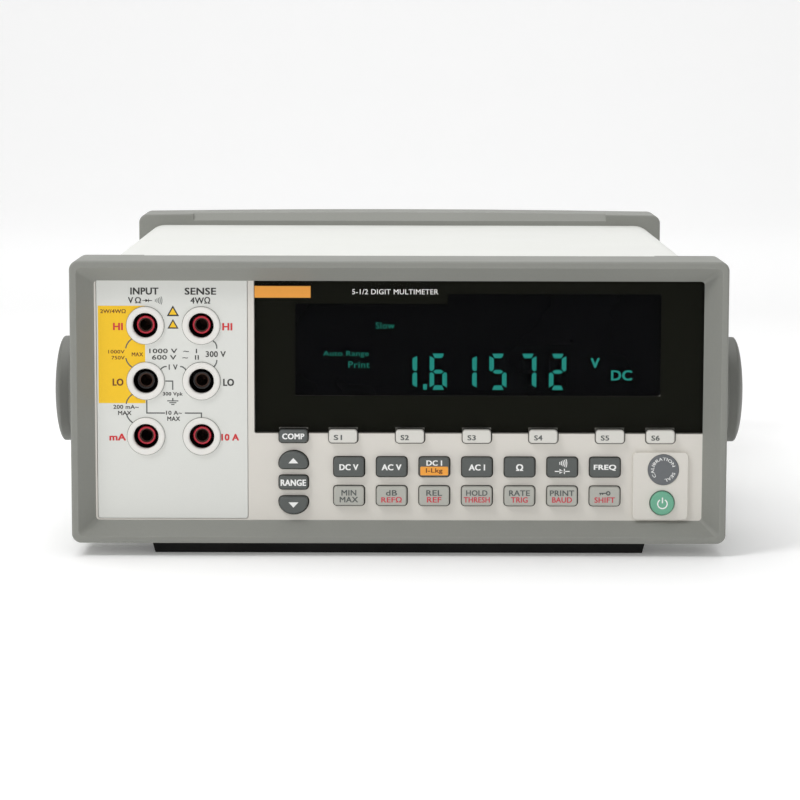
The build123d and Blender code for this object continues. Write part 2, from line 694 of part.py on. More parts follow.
def measurement_shield():
    """Tinned can over the analogue front end, open below."""
    can = block(-88, -12, -50, 40, BOARD_TOP, BOARD_TOP + 28)
    can = fillet(can.edges().filter_by(Axis.Z), 2.0)
    can -= block(-87.2, -12.8, -49.2, 39.2, BOARD_TOP, BOARD_TOP + 27.2)
    return can


def relays():
    """Input relays under the shield."""
    row = []
    for index in range(4):
        x = -82 + index * 18
        row.append(block(x, x + 10, -40, -20, BOARD_TOP, BOARD_TOP + 11))
    return row


def capacitors():
    """Smoothing capacitors beside the transformer."""
    spots = ((-8, 60, 8, 26), (-8, 82, 8, 26), (-30, 60, 6.5, 20), (-30, 80, 6.5, 20))
    return [rod_z(x, y, radius, BOARD_TOP, BOARD_TOP + tall) for x, y, radius, tall in spots]


def logic_chips():
    """Processor, converter and memory packages."""
    spots = ((22, -60, 22, 22), (22, -20, 16, 16), (55, -60, 12, 18), (55, -20, 10, 14), (22, 10, 14, 8))
    return [block(x, x + wide, y, y + long, BOARD_TOP, BOARD_TOP + 2.4) for x, y, wide, long in spots]


def regulator_heatsink():
    """Finned extrusion that cools the regulators."""
    base = block(-92, -52, 70, 73, BOARD_TOP, BOARD_TOP + 34)
    for index in range(8):
        x = -91 + index * 5
        base += block(x, x + 1.5, 73, 86, BOARD_TOP, BOARD_TOP + 34)
    return base


def transformer_core():
    """Laminated core with two windows and mounting feet."""
    half = CORE_WIDTH / 2
    bottom = TRAY_FLOOR + 2
    front = CORE_Y - CORE_STACK / 2
    back = CORE_Y + CORE_STACK / 2
    core = block(CORE_X - half, CORE_X + half, front, back, bottom, bottom + CORE_HEIGHT)
    for side in (-1, 1):
        middle = CORE_X + side * (LEG / 2 + LEG / 2 + LEG / 2)
        core -= block(middle - LEG / 2, middle + LEG / 2, front, back, bottom + LEG,
                      bottom + CORE_HEIGHT - LEG)
    foot_strap = block(CORE_X - half - 8, CORE_X + half + 8, front + 6, back - 6, TRAY_FLOOR, bottom)
    return core + foot_strap


def transformer_coil():
    """Taped winding round the centre leg."""
    bottom = TRAY_FLOOR + 2 + LEG + 0.2
    top = TRAY_FLOOR + 2 + CORE_HEIGHT - LEG - 0.2
    reach = CORE_STACK / 2 + LEG
    coil = block(CORE_X - 2 * LEG + 0.2, CORE_X + 2 * LEG - 0.2, CORE_Y - reach, CORE_Y + reach, bottom, top)
    coil = fillet(coil.edges().filter_by(Axis.Z), 2.5)
    coil -= block(CORE_X - LEG - 0.1, CORE_X + LEG + 0.1, CORE_Y - CORE_STACK / 2 - 0.1,
                  CORE_Y + CORE_STACK / 2 + 0.1, bottom, top)
    return coil


def power_switch():
    """Latching mains switch that the push rod works."""
    body = block(SWITCH_X - 7, SWITCH_X + 7, SWITCH_Y, SWITCH_Y + 20, TRAY_FLOOR, TRAY_FLOOR + 14)
    plunger = block(SWITCH_X - 1.5, SWITCH_X + 1.5, SWITCH_Y - 2.6, SWITCH_Y, BUTTON_Z - 1.5, BUTTON_Z + 1.5)
    return body + plunger


# ---------------------------------------------------------------- rear


def rear_bezel():
    """Moulded frame that closes the back end of the sleeve."""
    frame = slab(case_outline(), SLEEVE_BACK, BEZEL_BACK)
    opening = rectangle(-101, 101, CASE_BOTTOM + 6, CASE_BOTTOM + CASE_HEIGHT - 6, 3.0)
    return frame - slab(opening, SLEEVE_BACK, BEZEL_BACK)


def rear_panel():
    """Sheet panel with cut-outs for inlet, serial connector, earth post, screws and air slots."""
    panel = slab(case_outline(SLEEVE_WALL + SLIDE_GAP), REAR_PANEL_FRONT, REAR_PANEL_BACK)
    middle = INLET_Z
    cuts = [rectangle(INLET_X - INLET_WIDTH / 2, INLET_X + INLET_WIDTH / 2, middle - INLET_HEIGHT / 2,
                      middle + INLET_HEIGHT / 2)]
    cuts.append(rectangle(SERIAL_X - 9.6, SERIAL_X + 9.6, SERIAL_Z - 5.6, SERIAL_Z + 5.6, 1.5))
    for side in (-1, 1):
        cuts.append(Pos(SERIAL_X + side * JACKSCREW_SPACING / 2, SERIAL_Z) * Circle(1.7))
    cuts.append(Pos(EARTH_X, EARTH_Z) * Circle(2.1))
    for x, z in REAR_SCREWS:
        cuts.append(Pos(x, z) * Circle(1.7))
    for row in range(4):
        for column in range(9):
            x = -76 + column * 9
            cuts.append(Pos(x, 60 + row * 7) * SlotOverall(6.5, 2.2))
    for cut in cuts:
        panel -= slab(cut, REAR_PANEL_FRONT, REAR_PANEL_BACK)
    return panel


def mains_inlet():
    """Appliance inlet with three blades over a slot for the fuse drawer."""
    face = REAR_PANEL_BACK + INLET_FLANGE
    body_front = 108.0
    half_w = INLET_WIDTH / 2 - 0.2
    half_h = INLET_HEIGHT / 2 - 0.2
    inlet = slab(rectangle(INLET_X - half_w, INLET_X + half_w, INLET_Z - half_h, INLET_Z + half_h),
                 body_front, REAR_PANEL_BACK)
    inlet += slab(rectangle(INLET_X - half_w - 2.5, INLET_X + half_w + 2.5, INLET_Z - half_h - 2.5,
                            INLET_Z + half_h + 2.5, 2.5), REAR_PANEL_BACK, face)
    socket_z = INLET_Z + SOCKET_RISE
    socket = rectangle(INLET_X - SOCKET_WIDTH / 2, INLET_X + SOCKET_WIDTH / 2,
                       socket_z - SOCKET_HEIGHT / 2, socket_z + SOCKET_HEIGHT / 2)
    socket = chamfer(socket.vertices().group_by(Axis.Y)[-1], 4.0)
    inlet -= slab(socket, face - 18, face)
    drawer_z = INLET_Z - DRAWER_DROP
    inlet -= slab(drawer_outline(drawer_z, DRAWER_GAP), face - DRAWER_DEPTH - DRAWER_GAP, face)
    for x, z in ((-7, -2), (7, -2), (0, 2.5)):
        blade = rectangle(INLET_X + x - 1, INLET_X + x + 1, socket_z + z - 2, socket_z + z + 2)
        inlet += slab(blade, face - 18, face - 5)
        inlet += slab(blade, body_front - 7, body_front)
    return inlet


def drawer_outline(z, grow=0.0):
    """Outline of the fuse drawer."""
    return rectangle(INLET_X - DRAWER_WIDTH / 2 - grow, INLET_X + DRAWER_WIDTH / 2 + grow,
                     z - DRAWER_HEIGHT / 2 - grow, z + DRAWER_HEIGHT / 2 + grow)


def fuse_drawer():
    """Sliding drawer with a pull lip and a cradle for the mains fuse."""
    face = REAR_PANEL_BACK + INLET_FLANGE
    z = INLET_Z - DRAWER_DROP
    drawer = slab(drawer_outline(z), face - DRAWER_DEPTH, face + 1.2)
    drawer -= block(INLET_X - 10.5, INLET_X + 10.5, face - 16, face - 4, z - 3.2, z + DRAWER_HEIGHT)
    lip = slab(rectangle(INLET_X - 5, INLET_X + 5, z - 3.4, z - 1.2), face + 1.2, face + 2.8)
    return drawer + lip


def mains_fuse():
    """Cartridge fuse lying in the drawer."""
    face = REAR_PANEL_BACK + INLET_FLANGE
    z = INLET_Z - DRAWER_DROP
    return rod_x(face - 10, z - 0.6, 2.55, INLET_X - 10, INLET_X + 10)


def serial_connector():
    """Nine-way D connector with two tapped jackscrew posts, on a bracket behind the panel."""
    back = REAR_PANEL_BACK + 5.6
    shell = make_face(Polyline((-8.4, 4.1), (8.4, 4.1), (7.0, -4.1), (-7.0, -4.1), close=True))
    shell = fillet(shell.vertices(), 1.6)
    connector = slab(Pos(SERIAL_X, SERIAL_Z) * shell, REAR_PANEL_FRONT - 8, back)
    flange = rectangle(SERIAL_X - 15.4, SERIAL_X + 15.4, SERIAL_Z - 6.2, SERIAL_Z + 6.2, 1.0)
    connector += slab(flange, REAR_PANEL_FRONT - 1.0, REAR_PANEL_FRONT)
    connector += block(SERIAL_X - 9, SERIAL_X + 9, 112, REAR_PANEL_FRONT - 8, BOARD_TOP, SERIAL_Z + 4)
    for side in (-1, 1):
        x = SERIAL_X + side * JACKSCREW_SPACING / 2
        post = rod_y(x, SERIAL_Z, 1.6, REAR_PANEL_FRONT - 1.0, REAR_PANEL_BACK)
        post += slab(Pos(x, SERIAL_Z) * RegularPolygon(2.7, 6), REAR_PANEL_BACK, REAR_PANEL_BACK + 4.8)
        connector += post
        connector -= rod_y(x, SERIAL_Z, JACKSCREW_R, REAR_PANEL_BACK - 1.2, REAR_PANEL_BACK + 4.8)
    return connector


def earth_post():
    """Earth screw with a captive washer."""
    post = rod_y(EARTH_X, EARTH_Z, 2.0, REAR_PANEL_FRONT - 5, REAR_PANEL_BACK)
    post += rod_y(EARTH_X, EARTH_Z, 5.0, REAR_PANEL_BACK, REAR_PANEL_BACK + 0.8)
    head = slab(Pos(EARTH_X, EARTH_Z) * RegularPolygon(4.0, 6), REAR_PANEL_BACK + 0.8, REAR_PANEL_BACK + 4)
    return post + head


def rear_screws():
    """Pan-head screws that hold the rear panel to the tray."""
    screws = []
    for x, z in REAR_SCREWS:
        screw = rod_y(x, z, 1.45, TRAY_BACK - 7, REAR_PANEL_BACK)
        head = rod_y(x, z, 2.9, REAR_PANEL_BACK, REAR_PANEL_BACK + 2.0)
        head = fillet(head.faces().sort_by(Axis.Y)[-1].edges(), 0.8)
        slot_a = block(x - 2, x + 2, REAR_PANEL_BACK + 1.1, REAR_PANEL_BACK + 2, z - 0.35, z + 0.35)
        slot_b = block(x - 0.35, x + 0.35, REAR_PANEL_BACK + 1.1, REAR_PANEL_BACK + 2, z - 2, z + 2)
        screws.append(screw + head - slot_a - slot_b)
    return screws


# ---------------------------------------------------------------- all nodes


def both_sides(piece):
    """The right-hand piece and its mirror image."""
    return piece, mirror(piece, Plane.YZ)


def save_jacks():
    """Write the six jacks as nodes of like pieces."""
    spots = [(x, z) for z in JACK_Z for x in JACK_X]
    red = [spot for spot in spots if spot[1] != JACK_Z[1]]
    black = [spot for spot in spots if spot[1] == JACK_Z[1]]
    save("jack_collars", *[jack_collar(*spot) for spot in spots])
    save("jack_housings", *[jack_housing(*spot) for spot in spots],
         *[jack_sleeve(*spot) for spot in black])
    save("jack_sleeves_red", *[jack_sleeve(*spot) for spot in red])
    save("jack_contacts", *[jack_contact(*spot) for spot in spots])


def save_shell():
    """Write the case, the bumpers and the feet."""
    save("case_sleeve", case_sleeve())
    save("front_bumper", bumper(FRONT_CORNER, 0))
    save("rear_bumper", mirror(bumper(REAR_CORNER, REAR_CROWN), Plane.XZ))
    front_foot = foot()
    save("feet", front_foot, mirror(front_foot, Plane.XZ))
    save("rear_bezel", rear_bezel())
    save("rear_panel", rear_panel())


def save_front():
    """Write the panel, its inserts and every key."""
    save("front_panel", front_panel())
    save("terminal_plate", terminal_plate())
    save("display_window", display_window())
    save("calibration_seal", calibration_seal())
    save("power_button", power_button())
    save("power_push_rod", power_push_rod())
    for name, x, z, size, moon in key_table():
        save(name, key(x, z, size, moon))


def save_handle():
    """Write the handle and what it turns on."""
    save("handle_frame", handle_frame())
    save("handle_grip", handle_grip())
    save("handle_hub_caps", *both_sides(hub_cap()))
    save("handle_pivots", *both_sides(handle_pivot()))


def save_inside():
    """Write the chassis and everything on it."""
    save("chassis_tray", chassis_tray())
    save("circuit_boards", main_board(), display_board(), jack_board())
    save("screws", *board_screws(), *both_sides(pivot_screw()), *rear_screws(), earth_post())
    save("display_tube", display_tube())
    save("keypad_membrane", keypad_membrane())
    save("ribbon_cable", ribbon_cable())
    save("input_fuses", *input_fuses())
    save("measurement_shield", measurement_shield())
    save("board_components", *relays(), *logic_chips(), *capacitors())
    save("regulator_heatsink", regulator_heatsink())
    save("transformer_core", transformer_core())
    save("transformer_coil", transformer_coil())
    save("power_switch", power_switch())


def save_rear():
    """Write what sits in the rear panel."""
    save("mains_inlet", mains_inlet())
    save("fuse_drawer", fuse_drawer(), mains_fuse())
    save("serial_connector", serial_connector())


os.makedirs("parts", exist_ok=True)
save_shell()
save_front()
save_jacks()
save_handle()
save_inside()
save_rear()
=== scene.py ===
import json
import math
import bmesh
import bpy
from mathutils import Euler, Matrix, Vector


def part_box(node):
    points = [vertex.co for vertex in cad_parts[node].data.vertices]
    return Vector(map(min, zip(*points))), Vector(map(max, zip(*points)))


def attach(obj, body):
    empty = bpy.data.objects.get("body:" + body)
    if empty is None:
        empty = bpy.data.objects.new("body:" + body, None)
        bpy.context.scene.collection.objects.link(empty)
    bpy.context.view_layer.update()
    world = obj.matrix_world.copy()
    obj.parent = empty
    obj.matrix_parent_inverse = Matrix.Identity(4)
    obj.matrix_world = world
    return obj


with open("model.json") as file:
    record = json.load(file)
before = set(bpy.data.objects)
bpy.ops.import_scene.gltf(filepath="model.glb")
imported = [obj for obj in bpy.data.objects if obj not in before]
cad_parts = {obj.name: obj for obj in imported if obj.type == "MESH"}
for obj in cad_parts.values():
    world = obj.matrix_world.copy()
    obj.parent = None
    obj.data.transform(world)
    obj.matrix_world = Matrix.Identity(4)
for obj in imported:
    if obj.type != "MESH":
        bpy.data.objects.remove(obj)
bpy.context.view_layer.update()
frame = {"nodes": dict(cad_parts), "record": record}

MM = 0.001
INK = 0.03 * MM
CAMERA_DISTANCE = 989.5 * MM
CAMERA_HEIGHT = 176.3 * MM
CAMERA_SIDE = 0.34 * MM
CAMERA_PITCH = 7.04
CAMERA_ROLL = 0.12
LENS = 132.1
COLLAR_RADIUS = 6.4 * MM
JACK_PITCH = 19.05
PEN = 0.42 * MM
READING = "161572"
DIGIT_PITCH = 10.22 * MM
DIGIT_SIZE = (5.9, 12.5, 1.55)
DIGIT_START = 43.2 * MM
DIGIT_MIDDLE = 11.75 * MM
STRIP = 1.75 * MM
FLANGE = 0.55 * MM
# Painted shadow round the keys: inner and outer reach of the dark printed ring, and its shift towards the
# lower right, away from the light.
KEY_SHADOW_INSIDE = 0.12 * MM
KEY_SHADOW_OUTSIDE = 0.36 * MM
KEY_SHADOW_SHIFT = (0.08 * MM, -0.05 * MM)
TWO_LINE_RISE = (1.15, -1.2)
SEAL_TEXT_RADIUS = 3.75 * MM
SEAL_TEXT_START = math.radians(70)
LAMPS = (
    ("overhead", (-0.1, 0.2, 1.5), (0, 0, 0.05), (1.2, 1.2), 12),
    ("key", (-0.75, -0.75, 1.25), (0, -0.1, 0.05), (0.45, 0.45), 7.5),
    ("fill", (0.5, -1.9, 0.9), (0, 0, 0.05), (1.1, 0.7), 4),
    ("backdrop", (0.0, 0.9, 1.1), (0, 2.5, 0.9), (2.6, 0.5), 9),
)
SKY = 0.34
PAPER_GLOW = 0.13


# ------------------------------------------------------------ materials


def rgb(red, green, blue):
    """Linear colour of an sRGB one given as 0 to 255."""
    linear = []
    for level in (red, green, blue):
        value = level / 255
        linear.append(value / 12.92 if value <= 0.04045 else ((value + 0.055) / 1.055) ** 2.4)
    return (*linear, 1.0)


def shade(colour, factor):
    """The colour made lighter or darker."""
    return (*[min(1.0, level * factor) for level in colour[:3]], 1.0)


def noise(nodes, links, coords, scale, detail=3.0):
    """Noise texture in object coordinates."""
    texture = nodes.new("ShaderNodeTexNoise")
    texture.inputs["Scale"].default_value = scale
    texture.inputs["Detail"].default_value = detail
    links.new(coords.outputs["Object"], texture.inputs["Vector"])
    return texture


def spread(nodes, links, source, low, high):
    """The noise value mapped to a range."""
    ranged = nodes.new("ShaderNodeMapRange")
    ranged.inputs["From Min"].default_value = 0.3
    ranged.inputs["From Max"].default_value = 0.7
    ranged.inputs["To Min"].default_value = low
    ranged.inputs["To Max"].default_value = high
    links.new(source, ranged.inputs["Value"])
    return ranged.outputs["Result"]


def mixed(nodes, links, factor, first, second):
    """Colour mix of two colours by a factor."""
    mix = nodes.new("ShaderNodeMix")
    mix.data_type = "RGBA"
    links.new(factor, mix.inputs["Factor"])
    mix.inputs["A"].default_value = first
    mix.inputs["B"].default_value = second
    return mix.outputs["Result"]


def edge_mask(nodes, links, radius):
    """One along edges, where handling rubs, and zero on flats."""
    bevel = nodes.new("ShaderNodeBevel")
    bevel.samples = 4
    bevel.inputs["Radius"].default_value = radius
    geometry = nodes.new("ShaderNodeNewGeometry")
    dot = nodes.new("ShaderNodeVectorMath")
    dot.operation = "DOT_PRODUCT"
    links.new(bevel.outputs["Normal"], dot.inputs[0])
    links.new(geometry.outputs["Normal"], dot.inputs[1])
    ranged = nodes.new("ShaderNodeMapRange")
    ranged.inputs["From Min"].default_value = 0.999
    ranged.inputs["From Max"].default_value = 0.90
    links.new(dot.outputs["Value"], ranged.inputs["Value"])
    return ranged.outputs["Result"]


def finish_of(name, colour, rough=0.5, swing=0.08, tint=0.05, grain=900.0, bump=0.02, wear=0.0,
              metallic=0.0, coat=0.0, specular=0.5, alpha=1.0, sheen=0.0):
    """Material with colour drift, roughness drift, fine grain and optional rubbed edges."""
    material = bpy.data.materials.new(name)
    material.use_nodes = True
    nodes, links = material.node_tree.nodes, material.node_tree.links
    shader = nodes["Principled BSDF"]
    coords = nodes.new("ShaderNodeTexCoord")
    cloud = noise(nodes, links, coords, 23.0)
    fine = noise(nodes, links, coords, grain, 2.0)
    drift = mixed(nodes, links, cloud.outputs["Fac"], shade(colour, 1 - tint), shade(colour, 1 + tint))
    speck = nodes.new("ShaderNodeMix")
    speck.data_type = "RGBA"
    speck.blend_type = "MULTIPLY"
    speck.inputs["Factor"].default_value = 0.35
    links.new(drift, speck.inputs["A"])
    level = spread(nodes, links, fine.outputs["Fac"], 1 - tint, 1 + tint)
    links.new(level, speck.inputs["B"])
    base = speck.outputs["Result"]
    if wear:
        rub = nodes.new("ShaderNodeMath")
        rub.operation = "MULTIPLY"
        links.new(edge_mask(nodes, links, 0.9 * MM), rub.inputs[0])
        patch = noise(nodes, links, coords, 110.0)
        links.new(spread(nodes, links, patch.outputs["Fac"], 0.0, wear), rub.inputs[1])
        worn = nodes.new("ShaderNodeMix")
        worn.data_type = "RGBA"
        links.new(rub.outputs["Value"], worn.inputs["Factor"])
        links.new(base, worn.inputs["A"])
        worn.inputs["B"].default_value = shade(colour, 1.5)
        base = worn.outputs["Result"]
    links.new(base, shader.inputs["Base Color"])
    links.new(spread(nodes, links, cloud.outputs["Fac"], rough - swing, rough + swing),
              shader.inputs["Roughness"])
    relief = nodes.new("ShaderNodeBump")
    relief.inputs["Strength"].default_value = bump * 10
    relief.inputs["Distance"].default_value = 0.05 * MM
    links.new(fine.outputs["Fac"], relief.inputs["Height"])
    links.new(relief.outputs["Normal"], shader.inputs["Normal"])
    shader.inputs["Metallic"].default_value = metallic
    shader.inputs["Coat Weight"].default_value = coat
    shader.inputs["Coat Roughness"].default_value = 0.08
    shader.inputs["Specular IOR Level"].default_value = specular
    shader.inputs["Sheen Weight"].default_value = sheen
    shader.inputs["Alpha"].default_value = alpha
    return material


def glow(name, colour, strength):
    """Phosphor of the display."""
    material = finish_of(name, colour, 0.6)
    shader = material.node_tree.nodes["Principled BSDF"]
    shader.inputs["Emission Color"].default_value = colour
    shader.inputs["Emission Strength"].default_value = strength
    return material


FINISH = {
    "case_paint": finish_of("case_paint", rgb(229, 230, 225), 0.42, tint=0.012, grain=1500, bump=0.02),
    "bumper_rubber": finish_of("bumper_rubber", rgb(141, 142, 136), 0.62, tint=0.04, grain=1100,
                               bump=0.035, wear=0.30, sheen=0.06),
    "foot_rubber": finish_of("foot_rubber", rgb(7, 7, 6), 0.8, tint=0.1, bump=0.04, wear=0.2),
    "panel_plastic": finish_of("panel_plastic", rgb(226, 222, 214), 0.5, tint=0.012, grain=1400, bump=0.02),
    "terminal_plastic": finish_of("terminal_plastic", rgb(229, 230, 225), 0.5, tint=0.012, grain=1400,
                                  bump=0.02),
    "collar_plastic": finish_of("collar_plastic", rgb(240, 238, 233), 0.35, tint=0.012, bump=0.01),
    "window_acrylic": finish_of("window_acrylic", rgb(6, 6, 7), 0.1, swing=0.03, tint=0.1, grain=300,
                                bump=0.0, alpha=0.3, specular=0.035),
    "key_dark": finish_of("key_dark", rgb(88, 92, 90), 0.48, tint=0.05, grain=1500, bump=0.03, wear=0.35),
    "key_light": finish_of("key_light", rgb(184, 184, 176), 0.48, tint=0.02, grain=1500, bump=0.03, wear=0.2),
    "key_white": finish_of("key_white", rgb(224, 222, 215), 0.42, tint=0.02, grain=1500, bump=0.02, wear=0.1),
    "button_green": finish_of("button_green", rgb(110, 178, 148), 0.38, tint=0.05, bump=0.02, wear=0.2),
    "rod_plastic": finish_of("rod_plastic", rgb(214, 212, 204), 0.5),
    "jack_black": finish_of("jack_black", rgb(14, 11, 11), 0.33, tint=0.1, bump=0.02),
    "jack_red": finish_of("jack_red", rgb(208, 32, 58), 0.3, tint=0.05, bump=0.01, coat=0.2),
    # The contact colour is a dark brown, well below bare brass: painted shade for the deep jack bores.
    "contact_metal": finish_of("contact_metal", rgb(74, 56, 48), 0.34, metallic=0.9, tint=0.2, bump=0.03),
    "seal_grey": finish_of("seal_grey", rgb(108, 111, 114), 0.6, tint=0.06, bump=0.04),
    "handle_plastic": finish_of("handle_plastic", rgb(112, 113, 108), 0.55, tint=0.04, grain=1100,
                                bump=0.035, wear=0.3),
    "grip_rubber": finish_of("grip_rubber", rgb(96, 97, 93), 0.7, tint=0.06, bump=0.05),
    "rear_metal": finish_of("rear_metal", rgb(205, 205, 199), 0.45, tint=0.02, bump=0.02),
    "screw_steel": finish_of("screw_steel", rgb(180, 180, 178), 0.32, metallic=1.0, tint=0.06, wear=0.3),
    "tray_metal": finish_of("tray_metal", rgb(176, 178, 180), 0.4, metallic=1.0, tint=0.06),
    "board_laminate": finish_of("board_laminate", rgb(22, 84, 48), 0.4, tint=0.12),
    "tube_glass": finish_of("tube_glass", rgb(4, 4, 8), 0.3, tint=0.15, specular=0.1),
    "silicone": finish_of("silicone", rgb(160, 160, 156), 0.6),
    "ribbon_plastic": finish_of("ribbon_plastic", rgb(150, 150, 150), 0.5),
    "fuse_body": finish_of("fuse_body", rgb(214, 210, 200), 0.35),
    "shield_tin": finish_of("shield_tin", rgb(186, 186, 182), 0.35, metallic=1.0),
    "component_plastic": finish_of("component_plastic", rgb(30, 30, 32), 0.5, tint=0.1),
    "heatsink_metal": finish_of("heatsink_metal", rgb(190, 190, 192), 0.4, metallic=1.0),
    "core_steel": finish_of("core_steel", rgb(96, 96, 98), 0.5, metallic=0.8, tint=0.1),
    "coil_tape": finish_of("coil_tape", rgb(206, 170, 60), 0.45),
    "connector_metal": finish_of("connector_metal", rgb(176, 176, 174), 0.35, metallic=1.0, tint=0.08),
}
INKS = {
    "black": finish_of("ink_black", rgb(52, 52, 50), 0.55, tint=0.08),
    "brown": finish_of("ink_brown", rgb(112, 58, 16), 0.55, tint=0.08),
    "grey": finish_of("ink_grey", rgb(92, 96, 94), 0.55, tint=0.06),
    "pale": finish_of("ink_pale", rgb(128, 131, 128), 0.55, tint=0.06),
    "white": finish_of("ink_white", rgb(248, 248, 246), 0.5, tint=0.02),
    "red": finish_of("ink_red", rgb(214, 52, 56), 0.5, tint=0.05),
    "pink": finish_of("ink_pink", rgb(206, 66, 80), 0.5, tint=0.05),
    "orange": finish_of("ink_orange", rgb(250, 168, 62), 0.5, tint=0.03),
    "yellow": finish_of("ink_yellow", rgb(255, 204, 28), 0.5, tint=0.03),
    # The gap ink is painted shadow for the dark ring round the keys.
    "gap": finish_of("ink_painted_key_shadow", rgb(42, 40, 36), 0.7, tint=0.1, specular=0.1),
    "mask": finish_of("ink_mask", rgb(27, 28, 18), 0.5, tint=0.06, specular=0.1),
}
PHOSPHOR = glow("phosphor", rgb(34, 150, 136), 1.1)
PHOSPHOR_DIM = glow("phosphor_dim", rgb(30, 128, 112), 1.1)
UNLIT = finish_of("phosphor_unlit", rgb(11, 13, 16), 0.5, tint=0.1, specular=0.1)


def dress_cad():
    """Give every CAD node the finish of its record slot."""
    for row in frame["record"]["subparts"]:
        node = frame["nodes"][row["node"]]
        node.data.materials.clear()
        node.data.materials.append(FINISH[row["material_slot"]])


# ------------------------------------------------------------ printed pieces


def piece_from(name, mesh, material, body):
    """Link a mesh as a piece that rides on a body."""
    mesh.materials.clear()
    mesh.materials.append(material)
    piece = bpy.data.objects.new(name, mesh)
    bpy.context.scene.collection.objects.link(piece)
    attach(piece, body)
    return piece


def embolden(mesh, reach):
    """Thicken lettering by overlaying copies shifted by a small reach."""
    work = bmesh.new()
    for number, (dx, dz) in enumerate(((-1, -0.5), (1, -0.5), (-1, 0.5), (1, 0.5))):
        fresh = len(work.verts)
        work.from_mesh(mesh)
        work.verts.ensure_lookup_table()
        for vertex in work.verts[fresh:]:
            vertex.co += Vector((dx * reach, -number * 0.002 * MM, dz * reach))
    work.to_mesh(mesh)
    work.free()


def words(name, text, middle, size, y, ink, body="housing", weight=0.03,
          way=1):
    """Lettering fitted to a width and height in millimetres at depth y; way is -1 to face the back."""
    curve = bpy.data.curves.new(name, "FONT")
    curve.body = text
    curve.extrude = 0.02
    curve.resolution_u = 3
    curve.space_character = 1.05
    source = bpy.data.objects.new(name + "_source", curve)
    bpy.context.scene.collection.objects.link(source)
    bpy.context.view_layer.update()
    graph = bpy.context.evaluated_depsgraph_get()
    mesh = bpy.data.meshes.new_from_object(source.evaluated_get(graph))
    bpy.data.objects.remove(source)
    low = Vector([min(v.co[axis] for v in mesh.vertices) for axis in range(3)])
    high = Vector([max(v.co[axis] for v in mesh.vertices) for axis in range(3)])
    centre = (low + high) / 2
    wide = size[0] * MM / (high.x - low.x)
    tall = size[1] * MM / (high.y - low.y)
    for vertex in mesh.vertices:
        offset = vertex.co - centre
        depth = y - way * offset.z * INK / 0.02
        vertex.co = (middle[0] + way * offset.x * wide, depth, middle[1] + offset.y * tall)
    if weight:
        embolden(mesh, weight * size[1] * MM)
    mesh.name = name
    return piece_from(name, mesh, ink, body)


def print_shapes(name, outlines, y, ink, body="housing", thick=INK):
    """Flat printed shapes: each outline is a closed list of (x, z) in metres."""
    work = bmesh.new()
    for outline in outlines:
        front = [work.verts.new((x, y - thick, z)) for x, z in outline]
        back = [work.verts.new((x, y + thick, z)) for x, z in outline]
        work.faces.new(front)
        work.faces.new(back[::-1])
        count = len(outline)
        for index in range(count):
            after = (index + 1) % count
            work.faces.new((front[index], back[index], back[after], front[after]))
    bmesh.ops.recalc_face_normals(work, faces=work.faces)
    mesh = bpy.data.meshes.new(name)
    work.to_mesh(mesh)
    work.free()
    return piece_from(name, mesh, ink, body)


def stroke(points, width):
    """Outline of a line of a given width through points in metres."""
    left, right = [], []
    for index, point in enumerate(points):
        here = Vector(point)
        before = Vector(points[max(index - 1, 0)])
        after = Vector(points[min(index + 1, len(points) - 1)])
        first = (here - before) if index else (after - here)
        second = (after - here) if index < len(points) - 1 else first
        normal = (first.normalized() + second.normalized()).normalized().orthogonal()
        reach = width / 2 / max(0.5, normal.dot(first.normalized().orthogonal()))
        left.append(tuple(here + normal * reach))
        right.append(tuple(here - normal * reach))
    return left + right[::-1]


def arc(centre, radius, start, end, steps=10):
    """Points of a round arc, angles in degrees."""
    turn = [math.radians(start + (end - start) * step / steps) for step in range(steps + 1)]
    return [(centre[0] + radius * math.cos(a), centre[1] + radius * math.sin(a)) for a in turn]


def box_outline(left, right, low, high, radius=0.0):
    """Rectangle outline with rounded corners."""
    if not radius:
        return [(left, low), (right, low), (right, high), (left, high)]
    corners = ((right - radius, low + radius, -90), (right - radius, high - radius, 0),
               (left + radius, high - radius, 90), (left + radius, low + radius, 180))
    outline = []
    for x, z, start in corners:
        outline += arc((x, z), radius, start, start + 90, 5)
    return outline


def moved(outline, x, z, scale=MM):
    """Outline given in millimetres about a point."""
    return [(x + dx * scale, z + dz * scale) for dx, dz in outline]


# ------------------------------------------------------------ front panel


def jack_places():
    """Centres of the six jacks, by name, from the collars' box."""
    low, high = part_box("jack_collars")
    columns = (low.x + COLLAR_RADIUS, high.x - COLLAR_RADIUS)
    rows = (high.z - COLLAR_RADIUS, (low.z + high.z) / 2, low.z + COLLAR_RADIUS)
    names = (("input_hi", "sense_hi"), ("input_lo", "sense_lo"), ("milliamp", "ten_amp"))
    return {names[r][c]: (columns[c], rows[r]) for r in range(3) for c in range(2)}


def diode_outlines(x, z, scale):
    """Diode symbol about a point."""
    arrow = [(-0.62, -0.55), (0.35, 0.0), (-0.62, 0.55)]
    bar = [(0.35, -0.58), (0.58, -0.58), (0.58, 0.58), (0.35, 0.58)]
    wire = [(-1.65, -0.11), (1.65, -0.11), (1.65, 0.11), (-1.65, 0.11)]
    return [moved(arrow, x, z, scale), moved(bar, x, z, scale), moved(wire, x, z, scale)]


def beeper_outlines(x, z, scale):
    """Sounder symbol: arcs that widen to the right."""
    outlines = []
    for index in range(5):
        reach = 1.2 + index * 0.62
        line = arc((x - 2.6 * scale, z), reach * scale, -24, 24, 6)
        outlines.append(stroke(line, 0.30 * scale))
    return outlines


